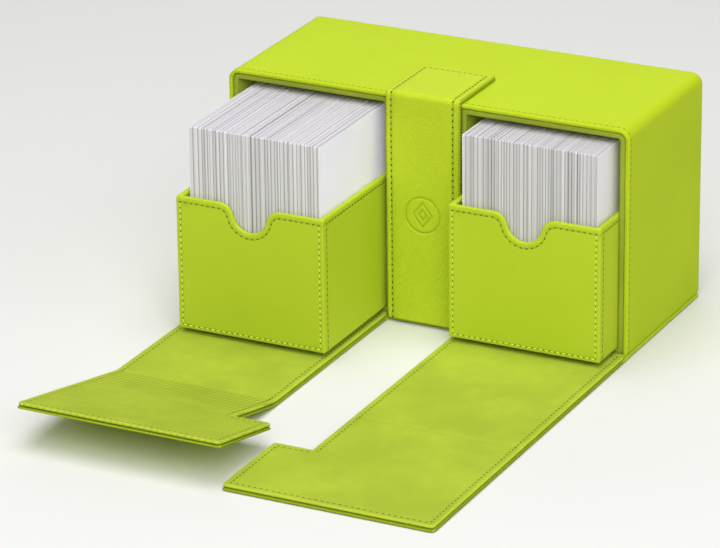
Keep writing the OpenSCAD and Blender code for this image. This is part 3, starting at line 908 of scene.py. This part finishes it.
class TrayForm:
    """Plan and rim of one tray: stations round its plan, and the rim's height at each."""

    def __init__(self, side):
        self.low, self.high = box_mm(side + "_tray_skin")
        self.middle = (self.low[0] + self.high[0]) / 2
        self.half = (self.high[0] - self.low[0]) / 2
        self.in_x = self.half - TRAY_FRONT_SEAM
        steps = np.array([self.half - TRAY_CORNER_R, self.in_x, self.in_x - 1, 28, 23, 19, 16.5])
        flat = joined(-steps, 0, 0, 1)
        front = np.concatenate([flat, notch_curve(), flat[::-1] * [-1, 1, 1, 1]])
        depth = self.high[1] - self.low[1]
        seam = (TRAY_SIDE_SEAM - TRAY_CORNER_R) / (depth - 2 * TRAY_CORNER_R)
        side_run = np.concatenate([[seam, seam * 1.6], np.linspace(0.12, 1, 9)])[:-1]
        turn = np.linspace(0, math.pi / 2, 6)
        # Each row: kind (0 front, 1 corner, 2 right side, 3 back, 4 left side) and its two places
        rows = [(0, 0, 0)] * len(front)
        rows += [(1, 0, t - math.pi / 2) for t in turn[1:]] + [(2, v, 0) for v in side_run]
        rows += [(1, 1, t) for t in turn] + [(3, v, 0) for v in np.linspace(0.1, 0.9, 7)]
        rows += [(1, 2, t + math.pi / 2) for t in turn] + [(4, v, 0) for v in side_run[::-1]]
        rows += [(1, 3, t + math.pi) for t in turn[:-1]]
        self.stations = np.array(rows, float)
        self.is_front = self.stations[:, 0] == 0
        self.curve = front
        x = front[:, 0]
        self.base_x = np.interp(x + np.linspace(-1e-3, 1e-3, len(x)), x, x)

    def plan(self, side_in, front_in, radius, front_x=None):
        """x and y of every station on the plan drawn in by side_in and front_in."""
        kind, a, b = self.stations.T
        straight = self.half - side_in - radius
        y_front, y_back = self.low[1] + front_in, self.high[1] - side_in
        run = np.zeros(len(kind))
        run[self.is_front] = self.curve[:, 0] if front_x is None else front_x
        stretch = (straight - FLAT_FROM) / (self.half - TRAY_CORNER_R - FLAT_FROM)
        past = np.maximum(np.abs(run) - FLAT_FROM, 0)
        run = np.where(past > 0, np.sign(run) * (FLAT_FROM + past * stretch), run)
        cx = np.where(a < 2, straight, -straight) + radius * np.cos(b)
        cy = np.where(a % 3 == 0, y_front + radius, y_back - radius) + radius * np.sin(b)
        along = y_front + radius + a * (y_back - y_front - 2 * radius)
        wall = self.half - side_in
        x = np.choose(kind.astype(int), [run, cx, wall, straight - 2 * straight * a, -wall])
        y = np.choose(kind.astype(int), [y_front, cy, along, y_back, along])
        return x + self.middle, y

    def ring(self, side_in, front_in, radius, z=None, below_rim=TRAY_TOP_SEAM, side_drop=None,
             share=1.0, foot=0.0):
        """One ring of points: at height z, or below_rim under the rim along its own normal, with
        side_drop instead on the sides and back. With a share, it lies at that share of the way up
        from height foot to the seam under the rim."""
        if z is not None:
            x, y = self.plan(side_in, front_in, radius, self.base_x)
            return joined(x, y, z)
        rim_x, rim_z, out_x, out_z = self.curve.T
        front_x = (rim_x - out_x * below_rim) * share + self.base_x * (1 - share)
        x, y = self.plan(side_in, front_in, radius, front_x)
        height = np.full(len(x), self.high[2] - (below_rim if side_drop is None else side_drop))
        height[self.is_front] = self.high[2] + rim_z - out_z * below_rim
        return joined(x, y, foot + (height - foot) * share)


def to_polyline(points, path):
    """Shortest distance from each 2D point to a polyline."""
    a, b = path[:-1], path[1:]
    d = b - a
    t = ((points[:, None] - a[None]) * d[None]).sum(-1) / np.maximum((d * d).sum(-1), 1e-9)[None]
    near = a[None] + np.clip(t, 0, 1)[..., None] * d[None]
    return np.linalg.norm(points[:, None] - near, axis=-1).min(1)


def tray(look, side):
    """A tray's skin and liner: rings of stations go up the outside, over a round rim that follows
    the notch, and down inside."""
    form = TrayForm(side)
    (x0, y0, z0), (x1, y1, top) = form.low, form.high
    outer, inner = TRAY_CORNER_R, TRAY_INNER_R
    foot, floor = z0 + TRAY_BOTTOM_SEAM, z0 + TRAY_WALL
    rings = []
    for t in np.linspace(0, math.pi / 2, 4):
        draw = TRAY_HEM * (1 - math.sin(t))
        rings.append(form.ring(draw, draw, outer, z=z0 + TRAY_HEM * (1 - math.cos(t))))
    rings.append(form.ring(0, 0, outer, z=foot))
    for share in (0.03, 0.15, 0.35, 0.55, 0.75, 0.9, 1.0):
        rings.append(form.ring(0, 0, outer, share=share, foot=foot))
    rings.append(form.ring(0, 0, outer, below_rim=1.7))
    for t in np.linspace(0, math.pi / 2, 7):
        draw = TRAY_ROLL * (1 - math.cos(t))
        rings.append(form.ring(draw, draw, outer, below_rim=TRAY_ROLL * (1 - math.sin(t))))
    for share, front_drop, side_drop in ((0.35, 0.22, 0.04), (0.7, 0.6, 0.2), (0.92, 0.86, 0.45),
                                         (1.0, 1.15, 0.8)):
        side_in, front_in = (TRAY_ROLL + (wall - TRAY_ROLL) * share
                             for wall in (TRAY_WALL, TRAY_FRONT_WALL))
        rings.append(form.ring(side_in, front_in, outer + (inner - outer) * share,
                               below_rim=front_drop, side_drop=side_drop))

    def inside(deeper, **place):
        """A ring on the inner walls, or deeper in them."""
        return form.ring(TRAY_WALL - deeper, TRAY_FRONT_WALL - deeper, inner, **place)

    hidden = 0.25
    rings += [inside(0, below_rim=2.1), inside(hidden, below_rim=2.4),
              inside(hidden, z=floor - hidden)]
    points = np.array(rings)
    rows, columns = points.shape[:2]
    run = run_along(*form.plan(0, 0, outer))
    uv = joined(run, points[..., 2])
    flat = points.reshape(-1, 3)
    in_x, seam_z = form.in_x, top - TRAY_TOP_SEAM
    rim_x, rim_z, out_x, out_z = form.curve.T
    rim_path = joined(rim_x - out_x * TRAY_TOP_SEAM,
                      seam_z + rim_z + (1 - out_z) * TRAY_TOP_SEAM)
    rim_path = rim_path[np.abs(rim_x) <= in_x + 1e-6]
    frame_path = np.array([[-in_x, seam_z], [-in_x, foot], [in_x, foot], [in_x, seam_z]])
    local = joined(flat[:, 0] - form.middle, flat[:, 2])
    front_seam = np.minimum(to_polyline(local, rim_path), to_polyline(local, frame_path))
    wall_seam = np.minimum(np.abs(flat[:, 1] - y0 - TRAY_SIDE_SEAM), np.abs(flat[:, 2] - seam_z))
    seam = np.where(np.tile(form.is_front, rows), front_seam, wall_seam)
    seam[(rows - 8) * columns:] = PAST_RIM
    cover = make_piece(side + "_tray_cover", [lofted(points, uv, seam, turned=True)], look,
                       ["tray_grain"], sharp=60)
    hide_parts(side + "_tray_skin")
    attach(cover, side + "_tray")

    thin = 0.12
    points = np.array([inside(thin, z=floor - thin), inside(thin, below_rim=2.2),
                       inside(0, below_rim=2.3), inside(0, z=floor - 0.02)])
    uv = joined(run, points[..., 2])
    liner = make_piece(side + "_tray_liner", [lofted(points, uv)], look, ["bay_suede"],
                       sharp=40)
    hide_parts(side + "_tray_lining")
    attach(liner, side + "_tray")

    def on_front(px, pz, h):
        return joined(px + form.middle, y0 - h, pz)

    runs = stitch_run(frame_path, on_front, 0.04, look, "front")
    runs += stitch_run(rim_path, on_front, 0.02, look, "rim")
    side_y = y0 + TRAY_SIDE_SEAM
    side_path = np.array([[side_y, foot], [side_y, seam_z], [y1 - 2, seam_z]])
    for wall, sign in ((x0, -1), (x1, 1)):
        def on_side(py, pz, h, w=wall, s=sign):
            return joined(w + s * h, py, pz)

        runs += stitch_run(side_path, on_side, 0.02, look, "wall")
    stitched(side + "_tray_stitches", runs, look, side + "_tray")


def deck(look, cards, side):
    """Sleeved cards on edge: eight-cornered slabs stacked along x, each a little out of line and
    with its own shade, in packets of two to four, each with an open gap and a dark card that is
    painted shade for the gap. The right deck's cards and outer faces are painted a little darker."""
    low, high = box_mm(side + "_deck")
    count = cards.card_count
    random = np.random.default_rng(cards.seed + (0 if side == "left" else 1))
    packets = np.cumsum(random.choice(PACKET_SIZES, count, p=PACKET_SHARES))
    behind = np.isin(np.arange(count), packets)
    gaps = np.clip(random.gamma(GAP_SHAPE, GAP_SCALE, count - 1), 0.0, GAP_MOST) * behind[1:]
    thick = (high[0] - low[0] - gaps.sum()) / count
    start = low[0] + np.concatenate([[0], np.cumsum(thick + gaps)])
    wander = cards.unevenness / MM
    y_shift = np.abs(random.normal(0, wander, count)) + 0.02
    z_shift = np.clip(random.normal(0, wander * 0.7, count), -0.4, DECK_PLAY)
    lean = random.normal(0, wander * 0.5, count)
    c, w, h = CARD_CORNER, CARD_W, high[2] - low[2] - DECK_PLAY
    across, up = np.array([[c, 0], [w - c, 0], [w, c], [w, h - c], [w - c, h], [c, h], [0, h - c],
                           [0, c]]).T
    y = low[1] + y_shift[:, None] + across + lean[:, None] * up / h
    z = low[2] + np.maximum(up + z_shift[:, None], 0.02)
    x = start[:, None]
    points = np.stack([joined(x, y, z), joined(x + thick, y, z)], 1).reshape(-1, 3)
    i = np.arange(8)
    rims = joined(i, (i + 1) % 8, (i + 1) % 8 + 8, i + 8)
    faces = np.array([[0, 1, 2, 3], [0, 3, 4, 7], [4, 5, 6, 7],
                      [8, 11, 10, 9], [8, 15, 12, 11], [12, 15, 14, 13]])
    starts = (np.arange(count) * 16)[:, None, None]
    body, tops = np.concatenate([np.delete(rims, 4, 0), faces]), rims[4:5]
    shells = [shell(points, part[None] + starts, points[:, 1:], material=slot)
              for slot, part in enumerate((body, tops))]
    piece = make_piece(side + "_cards", shells, look, ["sleeved_card", "card_tops"],
                       sharp=20)
    dark, pale = (random.uniform(*ends, count) for ends in (PAINTED_GAP_SHADES, PALE_SHADES))
    shades = np.where(behind, dark, pale)
    # Painted shade: the right deck is dimmed and its outer faces set below full; the left deck's
    # outer faces stay at full, where they take the painted glow.
    painted_dim, outside = (1.0, 1.0) if side == "left" else (0.85, 0.93)
    x = points_of(piece)[:, 0]
    nearest = np.clip(np.searchsorted(start, x + 1e-3) - 1, 0, count - 1)
    outer = (x < low[0] + 0.01) | (x > high[0] - 0.01)
    set_marks(piece.data, shade=np.where(outer, outside, shades[nearest] * painted_dim))
    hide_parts(side + "_deck")
    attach(piece, side + "_tray")


def lid(look, side, sign):
    """One lid: skin and suede sheets cut to the L-shaped outline, sewn near the edge, with a soft
    bend at the crease, and the short strip that joins it to the case."""
    place = lid_place(side)
    start, end = HINGE_Y - LID_HIGH[1], HINGE_Y - TIP_LOW[1]
    x_in, x_out, x_mid = LID_LOW[0], LID_HIGH[0], TIP_LOW[0]
    notch = CREASE_S + STRAP_HIGH[1] + LID_STRAP_GAP - HINGE_Y

    def on_lid(x, s, h):
        return place(x * sign, s, h)

    def sheet(inset, low, thick, relief=None):
        """A sheet drawn in by inset, save that the skin reaches the case's full width."""
        a, m, n, e = x_in + inset, x_mid + inset, notch + inset, end - inset
        b = x_out - inset if inset else HALF_W
        seam = LID_SEAM - inset

        def distance(x, s):
            corner = np.hypot(np.maximum(x - a, 0), np.maximum(s - n, 0))
            inner = np.where(s < n, x - a, corner)
            inner = np.where(x < a, np.minimum(x - m, s - n), inner)
            return np.minimum.reduce([inner, b - x, e - s])

        steps = np.concatenate([round_steps(thick / 2),
                                [0.9, 1.4], seam + np.array([-0.8, -0.35, 0, 0.35, 0.8])])
        xs = np.concatenate([lines_between(m, a, steps, [0], 5),
                             lines_between(a, b, steps, steps, 5.5)])
        crease = CREASE_S + np.linspace(-CREASE_HALF, CREASE_HALF, 19)
        ss = np.concatenate([lines_between(start, n, [0], [0], 7), crease,
                             lines_between(n, e, steps, steps, 5)])
        xs, ss = np.unique(np.round(xs, 5)), np.unique(np.round(ss, 5))
        corners = [(x, s, sx, sy, SHEET_CORNER_R)
                   for x, s, sx, sy in ((m, n, 1, 1), (m, e, 1, -1), (b, e, -1, -1))]
        return leather_sheet(xs, ss, lambda x, s: (x > a) | (s > n), distance, low, thick, on_lid,
                             thick / 2, corners, relief, lambda x, s: np.abs(distance(x, s) - seam),
                             square_start=True, dip=SEAM_DIP)

    def valley(d, x, s):
        return -VALLEY_DEPTH * np.exp(-(((s - CREASE_S) / VALLEY_HALF) ** 2))

    crease_y = PIVOTS["right_lid_crease"][1]
    cover = make_piece(side + "_lid_cover", [sheet(0, 0.0, SKIN_SHEET_T)], look, ["lid_grain"],
                       sharp=60)
    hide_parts(side + "_lid_skin", side + "_tip_skin")
    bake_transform(cover)
    top_sheet = sheet(SUEDE_INSET, LID_TOP - SUEDE_SHEET_T, SUEDE_SHEET_T, valley)
    lining = make_piece(side + "_lid_suede", [top_sheet], look,
                        ["ribbed_suede" if side == "left" else "lid_suede"], sharp=60)
    past = crease_y - points_of(lining)[:, 1]
    set_marks(lining.data, crease_ribs=1.9 * ease(past / 3) * ease((34 - past) / 16),
              tip_ribs=0.75 * ease((past - 20) / 16))
    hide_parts(side + "_lid_lining", side + "_tip_lining")
    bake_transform(lining)

    low_x, mid_x, high_x = x_in + LID_SEAM, x_mid + LID_SEAM, x_out - LID_SEAM
    first, turn, last = start + 0.5, notch + LID_SEAM, end - LID_SEAM
    path = np.array([[low_x, first], [low_x, turn], [mid_x, turn], [mid_x, last], [high_x, last],
                     [high_x, first]])
    runs = stitch_run(path, on_lid, LID_TOP - SEAM_DIP + 0.03, look, "lid")
    runs += stitch_run(path, lambda x, s, h: on_lid(x, s, -h), -SEAM_DIP + 0.05, look, "under")
    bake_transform(stitched(side + "_lid_stitches", runs, look))

    # Dark core that fills the lid's edge where the boards stop short of the crease
    w = np.array([x_in + CORE_INSET, x_out - CORE_INSET])[[0, 1, 1, 0]]
    height = np.array([CORE_LOW, CORE_LOW, CORE_HIGH, CORE_HIGH])
    core = np.array([on_lid(w, CREASE_S + s, height)
                     for s in np.linspace(-CORE_HALF, CORE_HALF, 7)])
    strip = make_piece(side + "_crease_core", [lofted(core, core[..., :2])], look, ["lid_core"])
    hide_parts(side + "_lid_crease")
    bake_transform(strip)
    hinge_strip(look, side, sign, start, x_in, x_out)


def hinge_strip(look, side, sign, start, x_in, x_out):
    """Skin, core and suede where a lid leaves the case: three flat bars carried from the case's
    front to the lid, from the base sheet's thickness down to the lid's."""
    y = np.linspace(FRONT, HINGE_Y - start, 7)
    t = ((y - y[0]) / (y[-1] - y[0]))[:, None]

    def bar(low, high, inset, material):
        outer = x_out - inset if inset else HALF_W
        x = np.array([x_in + inset, outer, outer, x_in + inset]) * sign
        low, high = (ends[0] + (ends[1] - ends[0]) * t for ends in (low, high))
        height = np.concatenate([low, low, high, high], 1)
        points = joined(x, y[:, None], height)
        return lofted(points, points[..., :2], material=material)

    sheets = [bar((0, 0), (BASE_T - 0.1, SKIN_SHEET_T), 0, 0),
              bar((BASE_T - 0.3, 0.95), (2.2, 1.85), CORE_INSET, 1),
              bar((1.9, LID_TOP - SUEDE_SHEET_T), (2.9, LID_TOP), SUEDE_INSET, 2)]
    strip = make_piece(side + "_hinge_strip", sheets, look, ["lid_grain", "lid_core", "lid_suede"])
    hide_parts(side + "_lid_hinge")
    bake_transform(strip)


def solids_finish(look):
    """Gives every solid that stays in view, or inside the covering, its own material."""
    # The catch-all last entry gives the case's boards the dark core finish, a painted shade where
    # they show in the groove round the bay frames.
    kinds = (("magnets", "magnet_steel"), ("lining", "bay_suede"), ("pad", "pad_foam"),
             ("skin", "case_grain"), ("tray", "grey_board"), ("deck", "sleeved_card"),
             ("", "lid_core"))
    for name, solid in frame["nodes"].items():
        wanted = next(finish for part, finish in kinds if part in name)
        solid.data.materials.clear()
        solid.data.materials.append(finishes(look)[wanted])


def direction(turn, rise):
    """Unit vector at an azimuth, from the front to the right, and an elevation, in degrees."""
    turn, rise = math.radians(turn), math.radians(rise)
    return np.array([math.cos(rise) * math.sin(turn), -math.cos(rise) * math.cos(turn),
                     math.sin(rise)])


def aimed_back(z):
    """Rotation of a lamp or camera whose back points along z, upright."""
    x = np.cross([0, 0, 1], z)
    x /= np.linalg.norm(x)
    return joined(x, np.cross(z, x), z)


def stand(name, data, point, turned):
    """Puts a lamp or camera at a point, turned by a rotation."""
    whole = np.eye(4)
    whole[:3, :3], whole[:3, 3] = turned, point
    made = add_object(name, data)
    made.matrix_world = Matrix(whole.tolist())
    return made


def studio(look):
    """Floor, even light, four soft lamps and the camera at the photograph's angle."""
    floor = Finish("studio_floor", look.floor_colour, 0.95, Specular_IOR_Level=0.1)
    s = FLOOR_SIZE
    mesh = bpy.data.meshes.new("floor")
    mesh.from_pydata([(x, y, -FLOOR_DROP) for x, y in ((-s, -s), (s, -s), (s, s), (-s, s))], [],
                     [(0, 1, 2, 3)])
    mesh.materials.append(floor.done())
    add_object("floor", mesh)

    world = bpy.data.worlds.new("studio_world")
    bpy.context.scene.world = world
    world.use_nodes = True
    nodes, links = world.node_tree.nodes, world.node_tree.links
    light = nodes["Background"]
    light.inputs["Color"].default_value = (1, 1, 1, 1)
    light.inputs["Strength"].default_value = look.ambient
    seen = nodes.new("ShaderNodeBackground")
    seen.inputs["Color"].default_value = linear(look.floor_colour)
    seen.inputs["Strength"].default_value = 1.0
    ray = nodes.new("ShaderNodeLightPath")
    mix = nodes.new("ShaderNodeMixShader")
    links.new(ray.outputs["Is Camera Ray"], mix.inputs[0])
    links.new(light.outputs[0], mix.inputs[1])
    links.new(seen.outputs[0], mix.inputs[2])
    links.new(mix.outputs[0], nodes["World Output"].inputs["Surface"])

    for name, turn, rise, distance, width in LAMPS:
        lamp = bpy.data.lights.new(name + "_lamp", "AREA")
        lamp.shape, lamp.size, lamp.energy = "SQUARE", width, getattr(look, name + "_power")
        away = direction(turn, rise)
        stand(name + "_lamp", lamp, LAMP_AIM + away * distance, aimed_back(away))

    data = bpy.data.cameras.new("camera")
    data.sensor_width, data.sensor_fit = SENSOR_MM, "HORIZONTAL"
    data.lens = SENSOR_MM * FOCAL_PIXELS / PHOTO_WIDTH
    data.clip_start, data.clip_end = 0.05, 50
    roll = math.radians(CAMERA_ROLL)
    sin, cos = math.sin(roll), math.cos(roll)
    turned = aimed_back(direction(CAMERA_TURN, CAMERA_RISE)) @ [[cos, -sin, 0], [sin, cos, 0],
                                                                [0, 0, 1]]
    bpy.context.scene.camera = stand("camera", data, CAMERA_PLACE, turned)
    bpy.context.scene.view_settings.view_transform = "Standard"


# Operators


class CARDCASE_OT_solids(bpy.types.Operator):
    """Give the boards, linings and magnets their materials"""

    bl_idname = "cardcase.solids"
    bl_label = "Finish Solids"

    def execute(self, context):
        solids_finish(context.scene.cardcase_cover)
        return {"FINISHED"}


class CARDCASE_OT_case(bpy.types.Operator):
    """Cover the case, its base and the frames of its bays"""

    bl_idname = "cardcase.case"
    bl_label = "Cover Case"

    def execute(self, context):
        look = context.scene.cardcase_cover
        case_cover(look)
        base_sheet(look)
        for side, sign in SIDES:
            bay_frame(look, side, sign)
        return {"FINISHED"}


class CARDCASE_OT_strap(bpy.types.Operator):
    """Lay the padded strap over the front and top"""

    bl_idname = "cardcase.strap"
    bl_label = "Lay Strap"

    def execute(self, context):
        strap(context.scene.cardcase_cover)
        return {"FINISHED"}


class CARDCASE_OT_trays(bpy.types.Operator):
    """Cover and line both trays and sew their edges"""

    bl_idname = "cardcase.trays"
    bl_label = "Cover Trays"

    def execute(self, context):
        for side, _ in SIDES:
            tray(context.scene.cardcase_cover, side)
        return {"FINISHED"}


class CARDCASE_OT_decks(bpy.types.Operator):
    """Stand a deck of sleeved cards in each tray"""

    bl_idname = "cardcase.decks"
    bl_label = "Fill Trays"

    def execute(self, context):
        for side, _ in SIDES:
            deck(context.scene.cardcase_cover, context.scene.cardcase_deck, side)
        return {"FINISHED"}


class CARDCASE_OT_lids(bpy.types.Operator):
    """Cut, bend and sew both folding lids"""

    bl_idname = "cardcase.lids"
    bl_label = "Sew Lids"

    def execute(self, context):
        for side, sign in SIDES:
            lid(context.scene.cardcase_cover, side, sign)
        return {"FINISHED"}


class CARDCASE_OT_studio(bpy.types.Operator):
    """Set up the floor, lamps and camera"""

    bl_idname = "cardcase.studio"
    bl_label = "Set Studio"

    def execute(self, context):
        studio(context.scene.cardcase_studio)
        return {"FINISHED"}


STEPS = (CARDCASE_OT_solids, CARDCASE_OT_case, CARDCASE_OT_strap, CARDCASE_OT_trays,
         CARDCASE_OT_decks, CARDCASE_OT_lids, CARDCASE_OT_studio)


class CARDCASE_PT_panel(bpy.types.Panel):
    """Sizes, colours and steps of the card case"""

    bl_label = "Card Case"
    bl_space_type = "VIEW_3D"
    bl_region_type = "UI"
    bl_category = "Card Case"

    def draw(self, context):
        scene = context.scene
        for group in (scene.cardcase_cover, scene.cardcase_deck, scene.cardcase_studio):
            box = self.layout.box()
            for name in group.__annotations__:
                box.prop(group, name)
        for step in STEPS:
            self.layout.operator(step.bl_idname)


CLASSES = (CoverLook, DeckLook, StudioLook) + STEPS + (CARDCASE_PT_panel,)


def register():
    for made in CLASSES:
        bpy.utils.register_class(made)
    bpy.types.Scene.cardcase_cover = PointerProperty(type=CoverLook)
    bpy.types.Scene.cardcase_deck = PointerProperty(type=DeckLook)
    bpy.types.Scene.cardcase_studio = PointerProperty(type=StudioLook)


def unregister():
    del bpy.types.Scene.cardcase_studio
    del bpy.types.Scene.cardcase_deck
    del bpy.types.Scene.cardcase_cover
    for made in reversed(CLASSES):
        bpy.utils.unregister_class(made)


def main():
    register()
    for step in STEPS:
        group, name = step.bl_idname.split(".")
        getattr(getattr(bpy.ops, group), name)()


if __name__ == "__main__":
    main()
